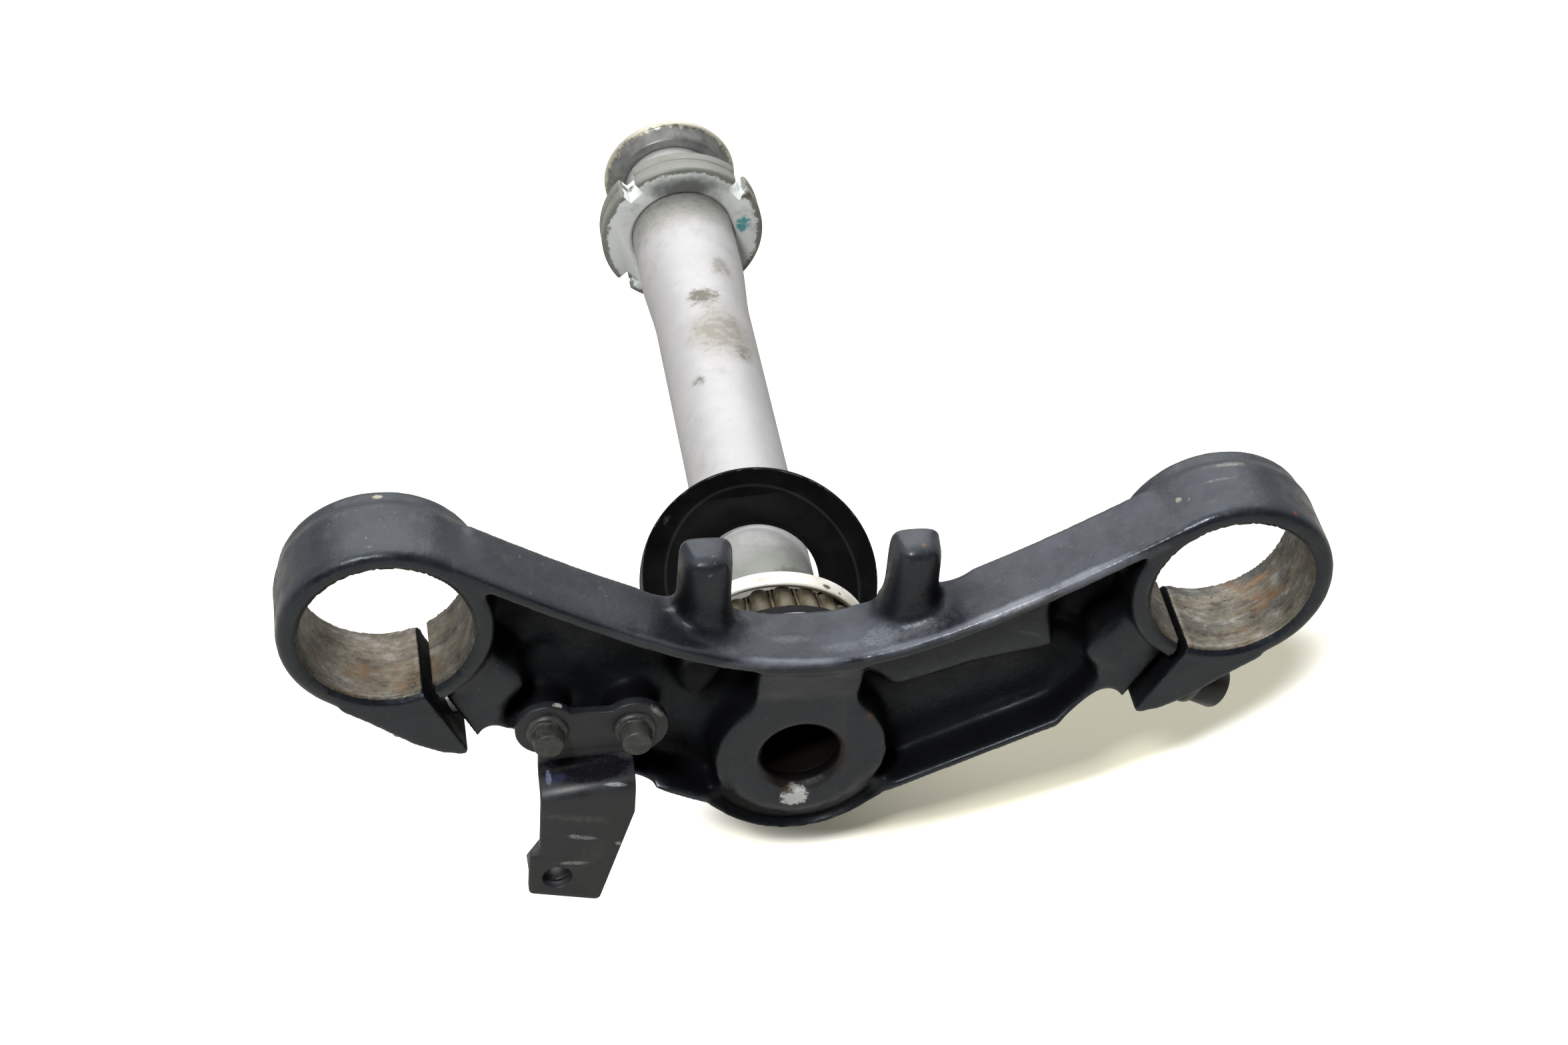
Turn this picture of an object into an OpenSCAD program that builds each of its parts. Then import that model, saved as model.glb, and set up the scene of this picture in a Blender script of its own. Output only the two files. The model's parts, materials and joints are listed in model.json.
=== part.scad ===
// Motorcycle lower yoke with its steering stem.
// Z runs up the stem. The bottom of the fork clamps is Z = 0 and the front of the bike is -Y.

/* [Fork clamps] */
// Bore of each fork clamp
fork_bore_d = 43; // [35:0.5:56]
// Wall of the clamp rings
clamp_wall = 5.5; // [4:0.5:9]
// Distance between the two forks
fork_spacing = 216.2; // [180:0.2:240]
// Distance from the stem axis forward to the forks
fork_offset = 55; // [30:1:70]
// Height of the clamp rings
clamp_height = 26.4; // [20:0.2:40]
// Height of the narrower collar at each ring's top
collar_height = 6; // [2:0.5:10]
// Step from ring to collar
collar_step = 1.1; // [0.4:0.1:2]
// Chamfer at both ends of the fork bores
bore_chamfer = 1.6; // [0.5:0.1:3]
// Width of the pinch slit
slit_width = 2.8; // [1.5:0.1:5]
// Direction of the slit, from the fork bore to the tab tips
slit_angle = 118.4; // [95:0.2:140]

/* [Yoke body] */
// Front face of the yoke at its middle
front_reach = 37.5; // [30:0.5:60]
// How far the front face sweeps forward towards the clamps
front_sweep = 0.684; // [0.3:0.01:0.9]
// Rounding of the front face at the middle
front_round = 45; // [20:1:90]
// Height of the yoke's web above the bottom of the rings
web_top = 20.6; // [16:0.2:26]
// Depth of the pockets, measured to their floor
pocket_floor = 16; // [10:0.5:18]
// Height of the rear rim's lower face
rim_bottom = 4; // [2:0.5:8]
// Width of the rear rim
rim_width = 3.2; // [2:0.2:7]
// Width of the front rib
rib_width = 4.2; // [3:0.2:8]
// Height of the step in the pockets
ledge_height = 8; // [6:0.5:14]
// Wall of the stem boss round the stem
boss_wall = 14.8; // [10:0.2:18]
// Width of the flat pad round the stem
pad_wall = 8.2; // [5:0.2:12]
// Width of the rib from the front face to the pad
centre_rib = 28; // [16:1:34]
// Top of the stem boss
boss_top = 30.4; // [24:0.2:36]

/* [Stop lugs] */
// Distance between the middles of the steering stop lugs
lug_spacing = 54; // [40:1:70]
// Width of a lug
lug_width = 14.2; // [8:0.2:18]
// Distance of the lugs' ends from the stem axis
lug_reach = 66; // [56:1:76]

/* [Stem] */
// Outer diameter of the stem tube
stem_d = 29.5; // [24:0.1:36]
// Hole through the stem
stem_bore_d = 20.8; // [10:0.2:24]
// Top end of the stem
stem_top = 276.5; // [200:0.5:320]
// How much thicker than the stem its threaded part is, on the diameter
thread_extra = 2.9; // [1:0.1:5]
// How much thicker than the stem its neck above the thread is
neck_extra = 0.9; // [0.2:0.1:2]
// Clearance between the stem and what is pressed on it
press_gap = 0.02; // [0:0.01:0.05]

/* [Lower bearing] */
// Thickness of the dust seal and its washer
seal_height = 4.6; // [3:0.2:8]
// Radial width of the dust seal
seal_width = 12.2; // [9:0.2:14]
// Height of the bearing's inner race
race_height = 15.5; // [12:0.5:20]
// Wall of the inner race at the rollers' middles
race_wall = 2.8; // [2:0.1:4]
// Number of rollers
roller_count = 20; // [12:1:20]
// Mean radius of a roller
roller_r = 2.9; // [2:0.1:3]
// Length of a roller
roller_length = 10.4; // [8:0.2:11]
// Lean of the rollers towards the stem
roller_lean = 6; // [3:0.5:9]
// Height of the outer race
cup_height = 5.3; // [4:0.1:8]
// Tilt of the loose outer race to the front
cup_tilt = 6.4; // [0:0.2:7]
// Tilt of the loose outer race to the side
cup_side_tilt = 4.3; // [0:0.1:5]

/* [Dust cover disc] */
// Radius of the loose disc
disc_r = 33.4; // [28:0.2:38]
// How much wider than the stem the disc's hole is, on the radius
disc_slack = 2.3; // [2:0.1:4]
// Sheet thickness of the disc
disc_sheet = 1.4; // [0.8:0.1:2.5]
// Lean of the disc towards the rear
disc_lean = 24; // [0:1:26]
// Height of the disc's middle
disc_height = 73.2; // [62:0.5:200]

/* [Ring nut and washer] */
// Width of the slotted ring nut outside its thread
nut_wall = 9.9; // [7:0.1:14]
// Height of the ring nut
nut_height = 10; // [7:0.2:14]
// Distance from the stem's top down to the nut's lower face
nut_below_top = 35; // [28:0.5:60]
// Width of the nut's slots
nut_slot = 5.6; // [4:0.2:8]
// Width of the dished washer outside the neck
washer_wall = 6.4; // [5:0.1:9]
// Depth of the dish
washer_dish = 4.8; // [2:0.1:6]
// Thickness of the dished washer
washer_sheet = 1.7; // [1:0.1:3]

/* [Bracket] */
// Sheet thickness of the bracket
sheet = 2.8; // [1.5:0.1:4]
// Lower face of the ears
ear_bottom = 3.5; // [1:0.5:6]
// Step down from the ears to the long plate
jog = 8.5; // [4:0.5:12]
// Radius of the bends, at the middle of the sheet
bend_r = 3.4; // [2:0.2:6]
// Angle of the step between the bends
jog_angle = 72; // [45:1:85]
// Skew of the bends
bend_skew = 8.6; // [0:0.2:15]
// Hole at the end of the long plate
bracket_hole_d = 7.8; // [7:0.2:12]
// Thread hole of the weld nut
weld_nut_d = 6.8; // [5:0.1:7]
// Height of the weld nut
weld_nut_height = 6.4; // [4:0.2:8]

/* [Bolts] */
// Thread diameter of the pinch bolts
pinch_d = 8; // [6:1:10]
// Thread diameter of the bracket bolts
bracket_bolt_d = 6; // [5:1:8]
// Clearance round the bolt shanks
bolt_gap = 0.25; // [0.05:0.05:0.6]
// Distance from the slit to the seat of the pinch bolt's head
seat_reach = 15.5; // [13:0.5:18]
// Distance from the slit to the shorter seat of the left pinch bolt
left_seat_reach = 11; // [9:0.5:14]
// Radius of the pinch bolt seats
seat_r = 7.6; // [6.5:0.1:9]
// Thickness of the pinch washer
pinch_washer = 1.6; // [1:0.1:2.5]
// Depth to which the pinch bolts reach past the slit
pinch_depth = 9.4; // [8:0.2:11]
// Depth to which the bracket bolts reach into the yoke
bracket_bolt_depth = 9.8; // [7:0.2:9.8]

/* [Hidden] */
$fn = 64;
fork_x = fork_spacing/2;
ring_r = fork_bore_d/2 + clamp_wall;
stem_r = stem_d/2;
boss_r = stem_r + boss_wall;
pad_r = stem_r + pad_wall;
seal_r = stem_r + seal_width;
thread_r = (stem_d + thread_extra)/2;
neck_r = (stem_d + neck_extra)/2;
nut_r = thread_r + nut_wall;
nut_bottom = stem_top - nut_below_top;
washer_r = neck_r + washer_wall;
disc_hole_r = stem_r + disc_slack;
bearing_z = boss_top + seal_height;
roller_z = bearing_z + 6.6;
roller_circle_r = stem_r + race_wall + roller_r + 0.1;
cup_r = roller_circle_r + roller_r + 2.5;
cup_z = bearing_z + race_height - 0.6;
pinch_z = clamp_height/2;
// Where the pinch bolt crosses the slit, measured from the fork axis
pinch_from_fork = [-16.5, 34.1];
ear_left = [-67.6, -16.2];
ear_right = [-44.9, -15.2];
weld_nut_at = [-64.8, 30.1];
plate_bottom = ear_bottom - jog;
// Middle of the bracket's bends, and the corners of its neck and end plate
bend_at = [-57.5, -3.2];
neck_left = [-69.6, -8];
neck_right = [-45, -8];
end_step = [-69.6, 20.4];
end_left = [-72.3, 21.4];
end_corners = [[-72.3, 35.6], [-53.4, 39.8]];

// Rear edge of the right arm, from the pinch slit to the boss
rear_edge = [[89, -17], [84.5, -16.2], [80.7, -17.2], [76, -11.8], [71.2, -5.8], [24, 16.4]];

function front_y(x) = -(front_reach + front_sweep*(sqrt(x*x + front_round*front_round) - front_round));
function front_line(a, b, n, inset) = [for (i = [0:n]) let (x = a + (b - a)*i/n) [x, front_y(x) + inset]];

// Yoke

module plan() {
  offset(r = -4, $fn = 16)
    offset(delta = 4) {
      polygon(concat(front_line(-fork_x + 22, fork_x - 22, 16, 0), [[fork_x, -fork_offset]],
        rear_edge, [for (i = [len(rear_edge) - 1:-1:0]) [-rear_edge[i][0], rear_edge[i][1]]],
        [[-fork_x, -fork_offset]]));
      circle(boss_r, $fn = 48);
      for (s = [-1, 1])
        translate([s*fork_x, -fork_offset])
          circle(ring_r - 0.6, $fn = 32);
    }
}

module body() {
  translate([0, 0, rim_bottom])
    linear_extrude(web_top - rim_bottom)
      plan();
}

module front_rib() {
  reach = fork_x - 16;
  linear_extrude(rim_bottom + 4)
    polygon(concat(front_line(-reach, reach, 16, 0), front_line(reach, -reach, 16, rib_width)));
}

module centre_rib() {
  w = centre_rib/2;
  rotate([90, 0, 90])
    translate([0, 0, -w])
      linear_extrude(2*w)
        polygon([[-front_reach + 1, 0.4], [-pad_r - 3, 2.6], [-pad_r + 4, rim_bottom + 1],
          [-pad_r + 4, pocket_floor], [-front_reach + 1, pocket_floor]]);
}

module pocket_shape() {
  offset(r = 2.4, $fn = 20)
    offset(delta = -2.4)
      difference() {
        intersection() {
          polygon(concat(front_line(centre_rib/2, fork_x - 18, 14, rib_width), [[fork_x - 18, -34],
            [80, -30], [80, 0], [centre_rib/2, 40]]));
          offset(delta = -rim_width)
            plan();
        }
        circle(pad_r + 0.6);
        translate([fork_x, -fork_offset])
          circle(ring_r - 1);
      }
}

module ledge_right() {
  difference() {
    offset(r = 2.5, $fn = 20)
      offset(delta = -2.5)
        polygon([[14, -27], [23.8, -17.9], [46.2, -25.7], [69.6, -30.4], [fork_x, -36], [fork_x, -80],
          [10, -55]]);
    // Deep recess between the ledge and the clamp ring
    offset(r = 6, $fn = 24)
      offset(delta = -6)
        polygon([[69, -24], [62.6, -47], [79, -56.5], [94, -48], [96, -24]]);
  }
}

module ledge_left() {
  offset(r = 2, $fn = 20)
    offset(delta = -2)
      polygon([[-10, -55], [-19, -33], [-28.2, -16.1], [-33.9, -25], [-34.4, -60]]);
}

module pockets() {
  for (s = [0, 1])
    mirror([s, 0, 0]) {
      difference() {
        translate([0, 0, -1])
          linear_extrude(pocket_floor + 1)
            pocket_shape();
        translate([0, 0, ledge_height])
          linear_extrude(pocket_floor)
            if (s == 0)
              ledge_right();
            else
              mirror([1, 0, 0])
                ledge_left();
      }
    }
}

module ring_solid() {
  r = ring_r;
  c = collar_height;
  h = clamp_height;
  translate([fork_x, -fork_offset, 0])
    rotate_extrude()
      polygon([[0, 0], [r - 1.9, 0], [r - 0.9, 0.3], [r - 0.25, 1], [r, 2.1], [r, h - c - 0.6],
        [r - 0.4, h - c], [r - collar_step, h - c + 0.5], [r - collar_step, h - 0.8],
        [r - collar_step - 0.8, h], [0, h]]);
}

module pinch_frame() {
  translate([fork_x + pinch_from_fork[0], -fork_offset + pinch_from_fork[1], pinch_z])
    rotate([0, 0, slit_angle - 90])
      children();
}

module tabs(reach) {
  // The outer tab reaches down to the ring's face
  linear_extrude(clamp_height - 0.6)
    offset(r = 1.2)
      offset(delta = -1.2)
        polygon([[98, -36], [87.1, -14.4], [89.4, -12.3], [95, -13.6], [101.7, -16.9], [107.5, -21.2],
          [112.6, -25.1], [121, -31], [fork_x, -40]]);
  // The inner tab stands back by the rim's height
  translate([0, 0, rim_bottom])
    linear_extrude(clamp_height - rim_bottom - 1.6)
      offset(r = 1.2)
        offset(delta = -1.2)
          polygon([[99, -36], [88, -14.8], [83.6, -15.6], [79, -19], [76.2, -22.4], [76.6, -29], [84, -44]]);
  // Hump that carries the bolt's thread, with a lower step round it
  for (step = [0, 1])
    translate([0, 0, rim_bottom + 3.4*step])
      linear_extrude(pocket_floor - 4)
        offset(r = 1.4 + 1.8*step)
          offset(delta = -1.4)
            polygon([[96, -48], [82.4, -43.6], [75.4, -36.4], [72.4, -31.2], [73.4, -28.2], [88, -21.4],
              [99, -30]]);
  // Seat of the pinch bolt
  pinch_frame()
    rotate([0, 90, 0])
      cylinder(h = reach, r = seat_r);
}

module hump_groove() {
  translate([73, -26.4, rim_bottom])
    rotate([0, 90, 25])
      cylinder(h = 12.5, r = 1.8);
}

module ring_cuts() {
  r = fork_bore_d/2;
  h = clamp_height;
  c = bore_chamfer;
  translate([fork_x, -fork_offset, 0]) {
    translate([0, 0, -1])
      cylinder(h = h + 2, r = r);
    translate([0, 0, -1])
      cylinder(h = c + 1, r1 = r + c + 1, r2 = r);
    translate([0, 0, h - c])
      cylinder(h = c + 1, r1 = r, r2 = r + c + 1);
  }
  pinch_frame() {
    translate([-slit_width, -22, -pinch_z - 1])
      cube([slit_width, 44, h + 2]);
    translate([-30, 0, 0])
      rotate([0, 90, 0])
        cylinder(h = 60, r = pinch_d/2 + bolt_gap);
  }
}

module lug() {
  w = lug_width/2;
  flare = 8;
  intersection() {
    translate([0, 0, 6])
      linear_extrude(18)
        offset(r = -4)
          offset(delta = 4) {
            translate([0, -lug_reach + 3])
              offset(r = 3)
                square([2*w - 6, 1], center = true);
            translate([-w, -lug_reach + 3.5])
              square([2*w, 28]);
            translate([-w - flare, -lug_reach + 22])
              square([2*(w + flare), 8]);
          }
    rotate([90, 0, 0])
      linear_extrude(lug_reach + 2)
        polygon([[-w - flare, web_top - 1], [-w, web_top - 0.4], [w, web_top - 0.4],
          [w + flare, web_top - 1], [w + flare, 13], [w, 13.6], [w - 1.4, 10], [w - 2.4, 8],
          [-w + 2.4, 8], [-w + 1.4, 10], [-w, 13.6], [-w - flare, 13]]);
  }
}

module lower_yoke() {
  difference() {
    union() {
      difference() {
        union() {
          body();
          front_rib();
        }
        pockets();
      }
      centre_rib();
      translate([0, 0, rim_bottom + 1])
        cylinder(h = pocket_floor, r = pad_r);
      // Stem boss above the web
      translate([0, 0, web_top - 1])
        cylinder(h = boss_top - web_top + 1, r1 = boss_r - 0.6, r2 = seal_r - 1);
      for (s = [0, 1])
        mirror([s, 0, 0]) {
          ring_solid();
          tabs(s == 0 ? seat_reach : left_seat_reach);
          translate([lug_spacing/2, 0, 0])
            lug();
        }
      // Seats of the bracket bolts
      for (p = [ear_left, ear_right])
        translate([p[0], p[1], ear_bottom + sheet])
          cylinder(h = web_top - ear_bottom - sheet - 1, r = 6.6);
    }
    for (s = [0, 1])
      mirror([s, 0, 0]) {
        ring_cuts();
        hump_groove();
      }
    // Stem seat and the chamfered hole below it
    translate([0, 0, -1])
      cylinder(h = boss_top + 2, r = stem_bore_d/2);
    translate([0, 0, rim_bottom - 0.1])
      cylinder(h = 2.1, r1 = stem_bore_d/2 + 2.1, r2 = stem_bore_d/2);
    translate([0, 0, rim_bottom + 5])
      cylinder(h = boss_top, r = stem_r + press_gap);
    // Notch in the rear rim where the bracket passes
    translate([ear_left[0] - 9.4, ear_left[1] - 8.8, ear_bottom - 4])
      cube([ear_right[0] - ear_left[0] + 19, 34, sheet + 4]);
    for (p = [ear_left, ear_right])
      translate([p[0], p[1], 0])
        cylinder(h = ear_bottom + sheet + bracket_bolt_depth + 0.4, r = bracket_bolt_d/2 + 0.02);
  }
}

// Stem

module steering_stem() {
  r = stem_r;
  t = thread_r;
  n = neck_r;
  b = stem_bore_d/2;
  z = nut_bottom;
  rotate_extrude()
    polygon([[b, rim_bottom + 5], [r, rim_bottom + 5], [r, z - 46.5], [r + 0.3, z - 40.5],
      [t - 0.5, z - 32.5], [t - 0.2, z - 28.5], [t, z - 25.5], [t, z + nut_height + 3],
      [t - 0.5, z + nut_height + 4], [n, z + nut_height + 4.4], [n, stem_top - 1], [n - 1, stem_top],
      [b + 1, stem_top], [b, stem_top - 1]]);
}

// Seal and bearing

module seal_washer() {
  translate([0, 0, boss_top])
    difference() {
      cylinder(h = 0.8, r = seal_r + 0.3);
      translate([0, 0, -1])
        cylinder(h = 3, r = stem_r + 0.2);
    }
}

module lower_dust_seal() {
  r = stem_r + press_gap;
  h = seal_height;
  translate([0, 0, boss_top])
    rotate_extrude()
      polygon([[r, 0.8], [seal_r - 0.6, 0.8], [seal_r, 1.2], [seal_r - 0.2, h - 0.5],
        [seal_r - 0.9, h], [seal_r - 2.2, h - 0.2], [seal_r - 3.4, h - 1.2], [r + 4.6, h - 1.2],
        [r + 4.4, h], [r, h]]);
}

module bearing_inner_race() {
  r = stem_r + press_gap;
  mid = stem_r + race_wall;
  slope = tan(roller_lean - 2);
  top = bearing_z + race_height;
  rotate_extrude()
    polygon([[r, bearing_z], [mid + 2.6, bearing_z], [mid + 2.9, bearing_z + 0.4],
      [mid + 2.9, bearing_z + 0.7], [mid + slope*5.6, bearing_z + 1],
      [mid - slope*(top - roller_z - 1), top - 1], [r + 1.4, top], [r + 0.5, top], [r, top - 0.5]]);
}

module rollers(grow, reach) {
  for (i = [0:roller_count - 1])
    rotate([0, 0, 360*i/roller_count])
      translate([roller_circle_r, 0, roller_z])
        rotate([0, -roller_lean, 0])
          translate([0, 0, -reach/2])
            cylinder(h = reach, r1 = roller_r*1.05 + grow, r2 = roller_r*0.95 + grow, $fn = 20);
}

module bearing_rollers() {
  rollers(-0.02, roller_length);
}

module bearing_cage() {
  slope = tan(roller_lean);
  low = bearing_z + 0.9;
  high = roller_z + roller_length/2 + 1;
  out = roller_circle_r + roller_r/2;
  difference() {
    rotate_extrude()
      polygon([[out + slope*6 - 2.2, low], [out + slope*6 + 0.3, low], [out + slope*4.8 + 0.3, low + 1.4],
        [out - slope*6, high - 0.6], [out - slope*6 - 2.6, high], [out - slope*6 - 2.6, high - 0.8],
        [out - slope*5.4 - 0.9, high - 1.2], [out + slope*5 - 0.9, low + 1.6],
        [out + slope*6 - 2.2, low + 1]]);
    for (i = [0:roller_count - 1])
      rotate([0, 0, 360*i/roller_count])
        translate([roller_circle_r, 0, roller_z])
          rotate([0, -roller_lean, 0])
            cube([3*roller_r, 2*roller_r*1.05, roller_length + 0.3], center = true);
  }
}

module bearing_outer_race() {
  // The raceway clears the rollers by enough for the tilt
  lip = roller_circle_r + roller_r + 0.95;
  top = lip - cup_height*tan(roller_lean + 2);
  h = cup_height/2;
  translate([0, 0, cup_z])
    rotate([cup_tilt, cup_side_tilt, 0])
      rotate_extrude()
        polygon([[lip, 0.5 - h], [lip + 0.4, -h], [cup_r - 0.6, -h], [cup_r, 0.6 - h], [cup_r, h - 0.8],
          [cup_r - 0.8, h], [top + 0.6, h], [top, h - 0.6]]);
}

module dust_cover_disc() {
  t = disc_sheet;
  r = disc_r;
  b = disc_hole_r;
  // The loose disc leans against the stem
  play = b*cos(disc_lean) - stem_r;
  translate([-1, 0.35 - play, disc_height])
    rotate([-disc_lean, 12, 0])
      rotate_extrude()
        polygon([[b, -t/2], [b + 1.2, -t/2], [b + 1.6, -t/2 - 0.5], [r - 8.6, -t/2 - 0.5],
          [r - 8, -t/2], [r - 1.2, -t/2], [r, -t/2 - 0.7], [r, t/2], [r - 8, t/2], [r - 8.6, t/2 - 0.5],
          [b + 1.6, t/2 - 0.5], [b + 1.2, t/2], [b, t/2]]);
}

// Ring nut and top washer

module adjuster_ring_nut() {
  b = thread_r + press_gap;
  r = nut_r;
  h = nut_height;
  translate([0, 0, nut_bottom])
    difference() {
      rotate_extrude()
        polygon([[b, 1], [b + 1, 0], [r - 0.7, 0], [r, 0.7], [r, h*0.4], [r - 0.6, h*0.45],
          [r - 0.6, h*0.55], [r - 0.1, h*0.6], [r - 0.1, h - 0.7], [r - 0.8, h], [b + 1, h],
          [b, h - 1]]);
      for (a = [45, 135, 225, 315])
        rotate([0, 0, a])
          translate([r - 4.2, -nut_slot/2, -1])
            cube([8, nut_slot, h + 2]);
    }
}

module stem_top_washer() {
  b = neck_r + 0.2;
  r = washer_r;
  t = washer_sheet;
  rim = stem_top - 2.2;
  z = rim - washer_dish;
  rotate_extrude()
    polygon([[b, z], [b + 2.6, z], [b + 3.2, z + 0.5], [r - 1, rim - 0.3], [r - 0.3, rim],
      [r, rim + 0.3], [r, rim + t], [r - 1.8, rim + t], [b + 2.2, z + t], [b, z + t]]);
}

// Bracket

module bracket_profile() {
  top = ear_bottom + sheet/2;
  low = top - jog;
  reach = bend_r*tan(jog_angle/2);
  second = jog/tan(jog_angle);
  n = 6;
  mid = concat([[-30, top, 0]],
    [for (i = [0:n]) let (f = jog_angle*i/n) [-reach + bend_r*sin(f), top - bend_r + bend_r*cos(f), f]],
    [for (i = [0:n]) let (f = jog_angle*(n - i)/n)
      [second + reach - bend_r*sin(f), low + bend_r - bend_r*cos(f), f]],
    [[56, low, 0]]);
  last = len(mid) - 1;
  polygon(concat(
    [for (p = mid) [p[0] + sheet/2*sin(p[2]), p[1] + sheet/2*cos(p[2])]],
    [for (i = [0:last]) let (p = mid[last - i]) [p[0] - sheet/2*sin(p[2]), p[1] - sheet/2*cos(p[2])]]));
}

module bracket_plan() {
  // Two ears round the bolts, then the neck and the end plate
  front = min(ear_left[1], ear_right[1]) - 5.4;
  offset(r = 1.6)
    offset(delta = -1.6) {
      translate(ear_left)
        circle(8.2);
      translate(ear_right)
        circle(8.8);
      polygon(concat([neck_left, end_step, end_left], end_corners, [neck_right + [0, 15.1], neck_right,
        [ear_right[0], front], [ear_left[0], front]]));
    }
}

module hose_bracket() {
  difference() {
    intersection() {
      translate([bend_at[0], bend_at[1], 0])
        rotate([0, 0, -bend_skew])
          rotate([90, 0, 90])
            linear_extrude(80, center = true)
              bracket_profile();
      translate([0, 0, plate_bottom - 5])
        linear_extrude(jog + 20)
          bracket_plan();
    }
    for (p = [ear_left, ear_right])
      translate([p[0], p[1], 0])
        cylinder(h = 20, r = bracket_bolt_d/2 + bolt_gap);
    translate([weld_nut_at[0], weld_nut_at[1], plate_bottom - 5])
      cylinder(h = 12, r = bracket_hole_d/2);
  }
}

module bracket_weld_nut() {
  translate([weld_nut_at[0], weld_nut_at[1], plate_bottom + sheet])
    difference() {
      cylinder(h = weld_nut_height, r = 7.5, $fn = 6);
      translate([0, 0, -1])
        cylinder(h = weld_nut_height + 2, r = weld_nut_d/2);
    }
}

module flange_bolt(d, length, head) {
  // Head below Z = 0, shank above it
  cylinder(h = length, r = d/2 - 0.01);
  translate([0, 0, -1.2])
    cylinder(h = 1.2, r1 = d*0.86, r2 = d*0.95);
  intersection() {
    translate([0, 0, -head])
      cylinder(h = head - 1, r = d*0.78, $fn = 6);
    // The corners are worn round
    translate([0, 0, -head])
      cylinder(h = head, r1 = d*0.64, r2 = d*0.76);
  }
}

module bracket_bolts() {
  for (p = [ear_left, ear_right])
    translate([p[0], p[1], ear_bottom])
      flange_bolt(bracket_bolt_d, sheet + bracket_bolt_depth, 6);
}

// Pinch bolts

module pinch_washer_right() {
  pinch_frame()
    translate([seat_reach, 0, 0])
      rotate([0, 90, 0])
        difference() {
          cylinder(h = pinch_washer, r = seat_r);
          translate([0, 0, -1])
            cylinder(h = pinch_washer + 2, r = pinch_d/2 + bolt_gap);
        }
}

module pinch_bolt_right() {
  from = seat_reach + pinch_washer;
  pinch_frame()
    translate([from, 0, 0])
      rotate([0, -90, 0]) {
        cylinder(h = from + pinch_depth, r = pinch_d/2);
        translate([0, 0, -pinch_d - 1])
          difference() {
            cylinder(h = pinch_d + 1, r = pinch_d*0.8);
            translate([0, 0, -1])
              cylinder(h = 5.5, r = pinch_d*0.45, $fn = 6);
          }
      }
}

module pinch_bolt_left() {
  from = left_seat_reach + 6.4;
  mirror([1, 0, 0])
    pinch_frame()
      translate([from, 0, 0])
        rotate([0, -90, 0])
          cylinder(h = from + pinch_depth, r = pinch_d/2);
}

color("dimgray") lower_yoke();
color("silver") steering_stem();
color("lightgray") seal_washer();
color("black") lower_dust_seal();
color("gray") bearing_inner_race();
color("tan") bearing_rollers();
color("peru") bearing_cage();
color("gray") bearing_outer_race();
color("black") dust_cover_disc();
color("silver") adjuster_ring_nut();
color("lightgray") stem_top_washer();
color("black") hose_bracket();
color("gray") bracket_weld_nut();
color("silver") bracket_bolts();
color("silver") pinch_bolt_right();
color("silver") pinch_washer_right();
color("silver") pinch_bolt_left();
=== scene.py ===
import json
import math
import bmesh
import bpy
import numpy as np
from mathutils import Matrix, Vector


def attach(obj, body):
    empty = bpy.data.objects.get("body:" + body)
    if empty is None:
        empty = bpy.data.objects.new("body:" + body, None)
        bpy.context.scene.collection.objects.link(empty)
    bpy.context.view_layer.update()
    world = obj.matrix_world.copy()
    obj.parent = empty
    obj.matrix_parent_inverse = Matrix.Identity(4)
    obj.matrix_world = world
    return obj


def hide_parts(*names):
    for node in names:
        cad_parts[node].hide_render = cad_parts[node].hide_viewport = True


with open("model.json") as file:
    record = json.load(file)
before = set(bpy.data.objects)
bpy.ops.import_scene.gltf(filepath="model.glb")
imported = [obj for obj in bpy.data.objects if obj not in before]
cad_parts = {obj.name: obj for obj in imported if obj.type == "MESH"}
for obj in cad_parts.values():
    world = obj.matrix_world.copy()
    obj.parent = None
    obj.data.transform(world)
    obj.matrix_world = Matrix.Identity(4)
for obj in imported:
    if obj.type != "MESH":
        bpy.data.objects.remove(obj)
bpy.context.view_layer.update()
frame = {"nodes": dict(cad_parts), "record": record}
nodes = frame["nodes"]
scene = bpy.context.scene
scene.view_settings.view_transform = "Standard"
mm = 0.001
forkClamp = next(mount for mount in frame["record"]["mounts"] if mount["name"] == "fork_clamp_right")


def metres(values):
    return tuple(value*mm for value in values)


# camera, as the photograph was taken: from below the yoke, with the front of the bike up
cameraView = {"place": (-0.131704, -0.56178, -0.545382), "lens": 69.163, "sensor": 36.0,
              "right": (0.98518904, -0.06938753, -0.15680536), "up": (0.05009777, -0.75809264, 0.65021978),
              "near": 0.01, "far": 20}


def placeCamera(view):
    data = bpy.data.cameras.new("camera")
    data.lens = view["lens"]
    data.sensor_width = view["sensor"]
    data.clip_start = view["near"]
    data.clip_end = view["far"]
    camera = bpy.data.objects.new("camera", data)
    scene.collection.objects.link(camera)
    right = Vector(view["right"]).normalized()
    up = Vector(view["up"]).normalized()
    back = right.cross(up)
    turn = Matrix((right, up, back)).transposed().to_4x4()
    camera.matrix_world = Matrix.Translation(view["place"]) @ turn
    scene.camera = camera


placeCamera(cameraView)
print("camera placed")

# lamps: the small one throws the shadow under the right arm, the wide ones stand for the room
lampSet = {
    "key": {"place": (-0.6, -1.3, -0.76), "aim": (0, 0, 0.06), "size": (0.24, 0.24), "watts": 17},
    "overhead": {"place": (-0.3, -1.4, 0.3), "aim": (0, 0, 0.08), "size": (1.7, 1.3), "watts": 6},
    "far": {"place": (-0.02, -1.05, 1.0), "aim": (0, 0, 0.08), "size": (1.8, 1.4), "watts": 15},
    "side": {"place": (-1.0, -0.75, -0.1), "aim": (0, 0, 0.1), "size": (0.6, 0.9), "watts": 1.2},
}


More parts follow.
